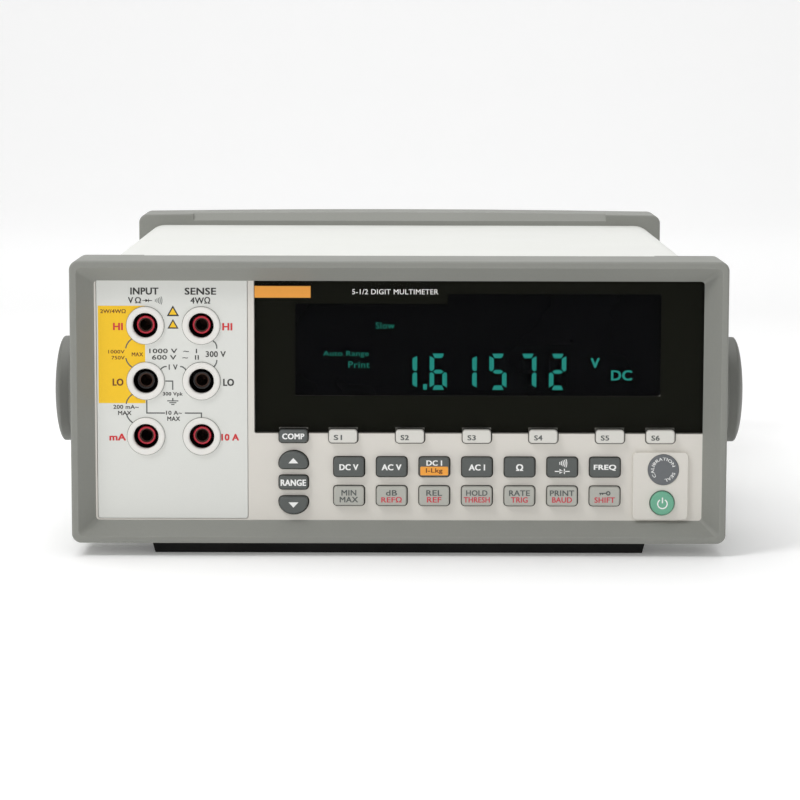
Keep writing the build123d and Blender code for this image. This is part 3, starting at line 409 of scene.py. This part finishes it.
# Lettering of the terminal plate: name, text, millimetres right of and above the input-high jack,
# width and height, ink, boldness.
TERMINAL_WORDS = (
    ("input", "INPUT", -0.2, 11.7, (9.4, 2.3), "black", 0.045),
    ("sense", "SENSE", 18.85, 11.7, (10.5, 2.3), "black", 0.045),
    ("volts", "V", -4.9, 8.6, (1.65, 2.0), "black", 0.03),
    ("ohms", "Ω", -2.4, 8.6, (1.95, 2.0), "black", 0.03),
    ("four_wire", "4WΩ", 18.8, 8.6, (6.6, 2.2), "black", 0.03),
    ("wires", "2W/4WΩ", -10.95, 4.85, (8.6, 1.35), "brown", 0.03),
    ("hi_left", "HI", -9.3, -0.4, (3.1, 2.35), "red", 0.06),
    ("hi_right", "HI", 27.95, -0.4, (3.15, 2.35), "red", 0.06),
    ("lo_left", "LO", -9.45, -19.5, (3.5, 2.35), "brown", 0.05),
    ("lo_right", "LO", 28.3, -19.5, (3.5, 2.35), "black", 0.05),
    ("milliamp", "mA", -9.75, -38.4, (5.4, 2.25), "red", 0.06),
    ("ten_amp", "10 A", 28.75, -38.4, (5.8, 2.2), "red", 0.06),
    ("dc_limit", "1000V", -9.9, -9.05, (5.5, 1.2), "brown", 0.03),
    ("ac_limit", "750V", -9.35, -11.1, (4.4, 1.2), "brown", 0.03),
    ("max_one", "MAX", -2.75, -9.95, (3.8, 1.3), "brown", 0.03),
    ("range_one", "1000 V  ~  I", 9.45, -8.75, (16.2, 1.5), "black", 0.03),
    ("range_two", "600 V  ~  II", 10.2, -10.95, (15.9, 1.5), "black", 0.03),
    ("sense_limit", "300 V", 23.95, -9.8, (6.7, 1.95), "black", 0.03),
    ("one_volt", "1 V", 9.4, -14.3, (2.9, 1.75), "black", 0.03),
    ("peak", "300 Vpk", 9.2, -23.65, (6.7, 1.5), "black", 0.03),
    ("small_amp", "200 mA~", -6.8, -28.0, (8.6, 1.35), "black", 0.03),
    ("max_two", "MAX", -7.25, -30.1, (4.5, 1.4), "black", 0.03),
    ("big_amp", "10 A~", 9.6, -30.0, (5.4, 1.35), "black", 0.03),
    ("max_three", "MAX", 9.45, -32.05, (4.3, 1.45), "black", 0.03),
)

# Fine lines of the terminal plate, in millimetres from the input-high jack.
JACK_ARCS = (
    ((-4.6, -4.6), (-5.7, -5.6), (-6.4, -6.7), (-6.75, -7.9)),
    ((-6.75, -11.2), (-6.3, -12.5), (-5.6, -13.5), (-4.6, -14.4)),
)
TERMINAL_LINES = (
    ((23.0, -5.2), (23.8, -5.9), (24.25, -6.8), (24.35, -7.9)),
    ((24.35, -11.8), (24.2, -12.8), (23.7, -13.7), (23.1, -14.3)),
    ((4.95, -15.3), (5.6, -14.6), (6.3, -14.2), (7.2, -14.05)),
    ((11.8, -14.05), (12.7, -14.25), (13.4, -14.8), (14.0, -15.6)),
    ((6.7, -19.1), (9.2, -19.1), (9.2, -22.1)),
    ((0.3, -25.7), (0.3, -30.1), (6.5, -30.1)),
    ((13.3, -30.1), (18.95, -30.1), (18.95, -32.0)),
)
GROUND_X = 9.2
GROUND_BARS = (1.9, 1.2, 0.55)
MARKS = ((4.9, 2.1), (0.45, 1.9))


def yellow_block():
    """Yellow field left of the input jacks, cut back under their collars."""
    jacks = jack_places()
    low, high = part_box("terminal_plate")
    left, top = jacks["input_hi"]
    edge, under = left - 0.1 * MM, COLLAR_RADIUS - 0.8 * MM
    upper, lower = top + 6.7 * MM, top - 26.7 * MM
    block = [(low.x + 0.5 * MM, upper), (low.x + 0.5 * MM, lower), (edge, lower)]
    for row in (jacks["input_lo"][1], top):
        block += arc((edge, row), under, 270, 90, 16)
    block.append((edge, upper))
    print_shapes("print_yellow_block", [block], low.y, INKS["yellow"],
                 thick=0.6 * INK)


def terminal_words(left, top, y):
    """All lettering of the terminal plate."""
    for name, text, dx, dz, size, ink, weight in TERMINAL_WORDS:
        words("print_" + name, text, (left + dx * MM, top + dz * MM), size, y - 0.5 * INK, INKS[ink],
              weight=weight)


def terminal_symbols(left, top, y):
    """Diode, sounder and ground symbols and two plain triangles."""
    print_shapes("print_diode", diode_outlines(left + 0.75 * MM, top + 8.5 * MM, MM), y,
                 INKS["black"])
    print_shapes("print_beeper", beeper_outlines(left + 4.8 * MM, top + 8.5 * MM, 0.9 * MM), y,
                 INKS["pale"])
    middle = left + GROUND_X * MM
    ground = [stroke([(middle, top - 24.9 * MM), (middle, top - 25.8 * MM)], PEN)]
    for step, half in enumerate(GROUND_BARS):
        z = top - (25.9 + 0.62 * step) * MM
        ground.append(box_outline(left + (GROUND_X - half) * MM, left + (GROUND_X + half) * MM,
                                  z - 0.17 * MM, z + 0.17 * MM))
    print_shapes("print_ground", ground, y, INKS["grey"])
    for number, (dz, size) in enumerate(MARKS):
        outer = [(-size, -0.82 * size), (size, -0.82 * size), (0, 0.92 * size)]
        inner = [(-0.62 * size, -0.58 * size), (0.62 * size, -0.58 * size), (0, 0.5 * size)]
        x, z = left + 9.45 * MM, top + dz * MM
        print_shapes(f"print_mark_{number}", [moved(outer, x, z)], y, INKS["black"])
        print_shapes(f"print_mark_fill_{number}", [moved(inner, x, z)], y - INK, INKS["yellow"])


def terminal_lines(left, top, y):
    """Lines that tie each rating to its pair of jacks."""
    paths = list(TERMINAL_LINES)
    for row in (0, -JACK_PITCH):
        paths += [[(dx, row + dz) for dx, dz in path] for path in JACK_ARCS]
    lines = [stroke(moved(path, left, top), PEN) for path in paths]
    print_shapes("print_lines", lines, y, INKS["grey"])


def terminal_legends():
    """Printing on the terminal plate, placed from the jacks."""
    left, top = jack_places()["input_hi"]
    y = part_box("terminal_plate")[0].y
    yellow_block()
    terminal_words(left, top, y)
    terminal_symbols(left, top, y)
    terminal_lines(left, top, y)


def ring_outline(centre, radius, width, steps=64):
    """A ring as a strip of short quads."""
    quads = []
    for step in range(steps):
        first, second = (math.tau * step / steps, math.tau * (step + 1) / steps)
        quad = [(centre[0] + r * math.cos(a), centre[1] + r * math.sin(a))
                for r, a in ((radius, first), (radius + width, first),
                             (radius + width, second), (radius, second))]
        quads.append(quad)
    return quads


def painted_jack_rim_shadows():
    """Painted shadow: a fine printed line on the plate round every collar, standing in for the shade at the
    collar's edge.
    """
    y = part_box("terminal_plate")[0].y
    quads = []
    for place in jack_places().values():
        quads += ring_outline(place, COLLAR_RADIUS + 0.02 * MM, 0.16 * MM)
    print_shapes("painted_jack_rim_shadows", quads, y, INKS["pale"])


# ------------------------------------------------------------ display

KEYS = sorted(row["node"] for row in frame["record"]["subparts"]
              if row["node"].startswith(("key_", "softkey_")))
DIGITS = {"1": "bc", "2": "abged", "5": "afgcd", "6": "afgedc", "7": "abc"}


def segment_outlines(width, height, bar):
    """Outlines in millimetres of the seven bars of a digit about its centre."""
    w, h, gap = width / 2, height / 2, 0.16
    t = bar
    top = [(-w + t * 0.55 + gap, h), (w - t * 0.55 - gap, h), (w - t - gap, h - t), (-w + t + gap, h - t)]
    bottom = [(x, -z) for x, z in top][::-1]
    right = [(w, h - t * 0.55), (w, gap + 0.25 * t), (w - t * 0.5, gap), (w - t, gap + 0.5 * t),
             (w - t, h - t - gap)]
    left = [(-x, z) for x, z in right][::-1]
    lower_right = [(x, -z) for x, z in right][::-1]
    lower_left = [(-x, -z) for x, z in right]
    m = t * 0.42
    middle = [(-w + t * 0.75, 0), (-w + t + gap + 0.3, -m), (w - t - gap - 0.3, -m), (w - t * 0.75, 0),
              (w - t - gap - 0.3, m), (-w + t + gap + 0.3, m)]
    return {"a": top, "d": bottom, "b": right, "f": left, "c": lower_right, "e": lower_left, "g": middle}


def display_reading():
    """Lit and unlit segments and words on the face of the display tube."""
    low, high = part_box("display_tube")
    y = low.y - 0.05 * MM
    segments = segment_outlines(*DIGIT_SIZE)
    first_x = low.x + DIGIT_START
    z = low.z + DIGIT_MIDDLE
    lit, dark = [], []
    for index, digit in enumerate(READING):
        x = first_x + index * DIGIT_PITCH
        for letter, outline in segments.items():
            chosen = lit if letter in DIGITS[digit] else dark
            chosen.append(moved(outline, x, z))
    dot_x = first_x + 5.7 * MM
    lit.append(box_outline(dot_x - 0.65 * MM, dot_x + 0.65 * MM, z - 6.2 * MM, z - 4.3 * MM, 0.2 * MM))
    print_shapes("display_digits", lit, y, PHOSPHOR)
    print_shapes("display_unlit", dark, y, UNLIT)
    items = (("slow", "Slow", 35.2, 27.6, (6.5, 2.2), PHOSPHOR_DIM),
             ("auto", "Auto Range", 21.8, 17.7, (15.6, 2.3), PHOSPHOR_DIM),
             ("print", "Print", 26.3, 14.1, (7.3, 2.3), PHOSPHOR_DIM),
             ("volt", "V", 107.1, 14.8, (2.8, 3.3), PHOSPHOR),
             ("dc", "DC", 116.2, 10.6, (6.9, 3.4), PHOSPHOR))
    for name, text, dx, dz, size, ink in items:
        words("display_" + name, text, (low.x + dx * MM, low.z + dz * MM), size, y, ink,
              weight=0.0 if ink is PHOSPHOR_DIM else 0.045)
    spot = moved(arc((0, 0), 0.9, 0, 342, 19), low.x + 15.6 * MM, low.z + 14.1 * MM)
    print_shapes("display_spot", [spot], y, UNLIT)
    grid = []
    for index in range(len(READING)):
        x = first_x + index * DIGIT_PITCH
        grid.append(box_outline(x - 4.6 * MM, x + 4.6 * MM, z + 9.4 * MM, z + 9.7 * MM))
    print_shapes("display_grid", grid, y, UNLIT)


def under_keys(left, right, low, high):
    """Boxes that fill the strip between the keys along the window's lower edge."""
    places = [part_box(node) for node in KEYS]
    places = sorted((spot for spot in places if spot[0].z < low < spot[1].z), key=lambda spot: spot[0].x)
    boxes, start = [], left
    for key_low, key_high in places:
        boxes.append(box_outline(start, key_low.x + FLANGE, low, high))
        start = key_high.x - FLANGE
    boxes.append(box_outline(start, right, low, high))
    return boxes


def window_printing():
    """Opaque border on the back of the window and the plain title strip along its top."""
    low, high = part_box("display_window")
    tube_low, tube_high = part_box("display_tube")
    back = high.y - 0.05 * MM
    left, right = tube_low.x + 4.5 * MM, tube_high.x - 4.6 * MM
    bottom, top = tube_low.z + 3.6 * MM, tube_high.z - 1.4 * MM
    strip_x = left + 52 * MM
    strip_z = top - 3.4 * MM
    edge = 0.05 * MM
    parts = [
        box_outline(low.x + edge, left, low.z + STRIP, high.z - edge),
        *under_keys(low.x + edge, high.x - edge, low.z + edge, low.z + STRIP),
        box_outline(right, high.x - edge, low.z + STRIP, high.z - edge),
        box_outline(left, right, low.z + STRIP, bottom),
        box_outline(left, right, top, high.z - edge),
        box_outline(left, strip_x, strip_z, top),
    ]
    print_shapes("window_border", parts, back, INKS["mask"])
    front = low.y
    block = box_outline(low.x + 0.1 * MM, low.x + 19.2 * MM, low.z + 46.4 * MM, low.z + 50.4 * MM)
    print_shapes("title_block", [block], front, INKS["orange"])
    words("title_words", "5-1/2 DIGIT MULTIMETER", (low.x + 48.0 * MM, low.z + 48.5 * MM), (29.3, 1.75),
          front, INKS["white"], weight=0.012)


# ------------------------------------------------------------ keys


def key_face(node):
    """Centre and front depth of a key."""
    low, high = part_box(node)
    return (low.x + high.x) / 2, (low.z + high.z) / 2, low.y


def two_lines(node, lines, size=1.85):
    """Two lines of lettering on a pale key."""
    x, z, y = key_face(node)
    for number, (text, wide, ink) in enumerate(lines):
        dz = TWO_LINE_RISE[number]
        words(f"legend_{node}_{number}", text, (x, z + dz * MM), (wide, size), y, INKS[ink], node, 0.04)


def key_legends():
    """Legends on all keys."""
    plain = {"key_dc_volts": ("DC V", 6.3, 2.0, 0), "key_ac_volts": ("AC V", 6.6, 2.0, 0),
             "key_ac_current": ("AC I", 5.4, 2.0, 0), "key_ohms": ("Ω", 2.2, 2.2, 0),
             "key_frequency": ("FREQ", 7.5, 2.0, 0), "key_comp": ("COMP", 7.4, 1.9, 0),
             "key_range": ("RANGE", 8.5, 2.1, 0), "key_dc_current": ("DC I", 5.2, 1.75, 1.5)}
    for node, (text, wide, tall, rise) in plain.items():
        x, z, y = key_face(node)
        words("legend_" + node, text, (x, z + rise * MM), (wide, tall), y, INKS["white"], node,
              0.055)
    x, z, y = key_face("key_dc_current")
    band = box_outline(x - 4.75 * MM, x + 4.75 * MM, z - 2.75 * MM, z + 0.25 * MM, 0.35 * MM)
    print_shapes("legend_leakage_band", [band], y, INKS["orange"], "key_dc_current")
    words("legend_leakage", "I-Lkg", (x, z - 1.3 * MM), (5.6, 1.9), y - INK, INKS["brown"], "key_dc_current",
          0.03)
    x, z, y = key_face("key_diode")
    print_shapes("legend_diode", diode_outlines(x, z - 1.3 * MM, 1.55 * MM), y, INKS["white"], "key_diode")
    print_shapes("legend_beeper", beeper_outlines(x + 0.5 * MM, z + 1.5 * MM, 0.95 * MM), y, INKS["white"],
                 "key_diode")
    two_lines("key_min_max", (("MIN", 5.0, "grey"), ("MAX", 6.2, "grey")))
    two_lines("key_db", (("dB", 3.7, "grey"), ("REFΩ", 6.9, "pink")))
    two_lines("key_relative", (("REL", 5.3, "grey"), ("REF", 4.8, "pink")))
    two_lines("key_hold", (("HOLD", 7.2, "grey"), ("THRESH", 8.8, "pink")))
    two_lines("key_rate", (("RATE", 7.0, "grey"), ("TRIG", 5.6, "pink")))
    two_lines("key_print", (("PRINT", 8.2, "grey"), ("BAUD", 6.7, "pink")))
    x, z, y = key_face("key_shift")
    words("legend_shift", "SHIFT", (x, z - 1.2 * MM), (6.9, 1.85), y, INKS["pink"], "key_shift",
          0.04)
    key_z = z + 1.15 * MM
    shaft = [box_outline(x - 1.9 * MM, x + 0.6 * MM, key_z - 0.18 * MM, key_z + 0.18 * MM),
             box_outline(x - 1.7 * MM, x - 1.3 * MM, key_z - 0.65 * MM, key_z),
             box_outline(x - 0.9 * MM, x - 0.5 * MM, key_z - 0.55 * MM, key_z)]
    shaft += ring_outline((x + 1.2 * MM, key_z), 0.35 * MM, 0.45 * MM, 20)
    print_shapes("legend_lock", shaft, y, INKS["grey"], "key_shift")
    for number in range(1, 7):
        node = f"softkey_{number}"
        x, z, y = key_face(node)
        words("legend_" + node, f"S{number}", (x - 1.75 * MM, z - 0.35 * MM), (2.7, 1.7), y, INKS["grey"],
              node, 0.045)
    for node, way in (("key_up", 1), ("key_down", -1)):
        x, z, y = key_face(node)
        arrow = [(-1.7, -0.9 * way), (1.7, -0.9 * way), (0, 0.95 * way)]
        print_shapes("legend_" + node, [moved(arrow, x, z - 0.2 * way * MM)], y, INKS["white"], node)


def hull_of(node):
    """Convex outline of a node seen from the front, anticlockwise."""
    item = frame["nodes"][node]
    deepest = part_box(node)[0].y + 1.8 * MM
    spots = [item.matrix_world @ vertex.co for vertex in item.data.vertices]
    points = sorted({(round(spot.x, 6), round(spot.z, 6)) for spot in spots if spot.y < deepest})
    chains = []
    for run in (points, points[::-1]):
        chain = []
        for x, z in run:
            while len(chain) > 1 and ((chain[-1][0] - chain[-2][0]) * (z - chain[-2][1])
                                      - (chain[-1][1] - chain[-2][1]) * (x - chain[-2][0])) <= 0:
                chain.pop()
            chain.append((x, z))
        chains += chain[:-1]
    return chains


def grown(outline, reach, shift=(0.0, 0.0)):
    """Outline pushed outwards by a reach and shifted."""
    bigger = []
    for index, point in enumerate(outline):
        before, after = Vector(outline[index - 1]), Vector(outline[(index + 1) % len(outline)])
        here = Vector(point)
        way = (here - before).normalized() + (after - here).normalized()
        normal = Vector((way.y, -way.x)).normalized()
        bigger.append((here.x + normal.x * reach + shift[0], here.y + normal.y * reach + shift[1]))
    return bigger


def painted_key_shadows():
    """Painted shadow round every key: a dark printed ring, a little wider towards the lower right where the
    keys cast shade.
    """
    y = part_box("terminal_plate")[0].y
    quads = []
    for node in KEYS:
        outline = hull_of(node)
        inner = grown(outline, KEY_SHADOW_INSIDE)
        outer = grown(outline, KEY_SHADOW_OUTSIDE, KEY_SHADOW_SHIFT)
        for index in range(len(inner)):
            after = (index + 1) % len(inner)
            quads.append([inner[index], outer[index], outer[after], inner[after]])
    print_shapes("painted_key_shadows", quads, y, INKS["gap"])


def power_legend():
    """Power symbol on the green button."""
    x, z, y = key_face("power_button")
    ring = stroke(arc((x, z - 0.1 * MM), 1.62 * MM, 122, 418, 26), PEN)
    bar = stroke([(x, z + 0.1 * MM), (x, z + 2.1 * MM)], PEN)
    print_shapes("legend_power", [ring, bar], y, INKS["white"], "power_button")


def seal_marks():
    """Small lettering bent round the seal."""
    low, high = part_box("calibration_seal")
    x, z, y = (low.x + high.x) / 2, (low.z + high.z) / 2, low.y
    ring = words("seal_marks", "CALIBRATION   SEAL", (0.0, 0.0), (20.0, 1.05), y, INKS["white"],
                 weight=0.02)
    for vertex in ring.data.vertices:
        angle = SEAL_TEXT_START - vertex.co.x / SEAL_TEXT_RADIUS
        reach = SEAL_TEXT_RADIUS + vertex.co.z
        vertex.co = (x + reach * math.cos(angle), vertex.co.y, z + reach * math.sin(angle))


# ------------------------------------------------------------ back


def rear_printing():
    """Legends of the rear panel and a rating plate with nothing but plain lines."""
    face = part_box("rear_panel")[1].y
    port_low, port_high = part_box("serial_connector")
    inlet_low, inlet_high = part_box("mains_inlet")
    port_x = (port_low.x + port_high.x) / 2
    inlet_x = (inlet_low.x + inlet_high.x) / 2
    notes = (("port", "RS-232", port_x, port_low.z - 3.0 * MM, (11.5, 2.2)),
             ("inlet", "100-240 V~  50/60 Hz", inlet_x, inlet_high.z + 6.2 * MM, (30.0, 2.0)),
             ("power", "20 VA MAX", inlet_x, inlet_high.z + 2.8 * MM, (15.0, 1.9)),
             ("fuse", "FUSE T 0.125 A 250 V", inlet_x, inlet_low.z - 4.6 * MM, (28.0, 1.9)))
    for name, text, x, z, size in notes:
        words("rear_" + name, text, (x, z), size, face, INKS["black"], way=-1)
    left, right = port_x - 34 * MM, port_x + 34 * MM
    plate = box_outline(left, right, port_high.z + 4 * MM, port_high.z + 11 * MM, 0.8 * MM)
    print_shapes("rear_blank_plate", [plate], face, INKS["grey"], thick=0.05 * MM)
    bars = []
    for index in range(24):
        wide = (0.35, 0.75, 0.5)[index % 3] * MM
        start = left + (4 + 1.5 * index) * MM
        bars.append(box_outline(start, start + wide, port_high.z + 5.2 * MM, port_high.z + 9.8 * MM))
    print_shapes("rear_plate_lines", bars, face + 0.06 * MM, INKS["pale"])


# ------------------------------------------------------------ stage, light, camera


def make_stage():
    """Pale floor that curves up behind the object."""
    work = bmesh.new()
    profile = [(-2.5, 0.0), (1.6, 0.0)]
    profile += [(1.6 + 0.9 * math.sin(math.radians(a)), 0.9 - 0.9 * math.cos(math.radians(a)))
                for a in range(10, 91, 10)]
    profile.append((2.5, 3.2))
    rows = [[work.verts.new((x, y, z)) for y, z in profile] for x in (-4.0, 4.0)]
    for index in range(len(profile) - 1):
        work.faces.new((rows[0][index], rows[1][index], rows[1][index + 1], rows[0][index + 1]))
    for face in work.faces:
        face.smooth = True
    mesh = bpy.data.meshes.new("floor")
    work.to_mesh(mesh)
    work.free()
    paper = finish_of("floor_paper", rgb(250, 250, 250), 0.7, tint=0.004, grain=400, bump=0.0, specular=0.1)
    glow_of = paper.node_tree.nodes["Principled BSDF"]
    glow_of.inputs["Emission Color"].default_value = (1.0, 1.0, 1.0, 1.0)
    glow_of.inputs["Emission Strength"].default_value = PAPER_GLOW
    mesh.materials.append(paper)
    floor = bpy.data.objects.new("floor", mesh)
    bpy.context.scene.collection.objects.link(floor)


def area_light(name, place, target, size, power):
    """Soft rectangular light aimed at a point."""
    light = bpy.data.lights.new(name, "AREA")
    light.shape = "RECTANGLE"
    light.size, light.size_y = size
    light.energy = power
    lamp = bpy.data.objects.new(name, light)
    bpy.context.scene.collection.objects.link(lamp)
    lamp.location = place
    lamp.rotation_euler = (Vector(target) - Vector(place)).to_track_quat("-Z", "Y").to_euler()


def make_lights():
    """All lamps and an even pale sky."""
    for lamp in LAMPS:
        area_light(*lamp)
    world = bpy.data.worlds.new("studio")
    bpy.context.scene.world = world
    world.use_nodes = True
    background = world.node_tree.nodes["Background"]
    background.inputs["Color"].default_value = (1.0, 1.0, 1.0, 1.0)
    background.inputs["Strength"].default_value = SKY


def make_camera():
    """Camera straight ahead of the panel, a little above it, looking slightly down."""
    data = bpy.data.cameras.new("camera")
    data.lens = LENS
    data.sensor_width = 36.0
    camera = bpy.data.objects.new("camera", data)
    bpy.context.scene.collection.objects.link(camera)
    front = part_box("front_bumper")[0].y
    turn = Euler((math.radians(90 - CAMERA_PITCH), 0, 0)).to_matrix()
    roll = Matrix.Rotation(math.radians(CAMERA_ROLL), 3, "Z")
    camera.matrix_world = Matrix.Translation((CAMERA_SIDE, front - CAMERA_DISTANCE, CAMERA_HEIGHT)) @ (
        turn @ roll).to_4x4()
    bpy.context.scene.camera = camera
    bpy.context.scene.view_settings.view_transform = "Standard"


make_stage()
make_lights()
make_camera()
dress_cad()
terminal_legends()
painted_jack_rim_shadows()
window_printing()
display_reading()
key_legends()
painted_key_shadows()
power_legend()
seal_marks()
rear_printing()
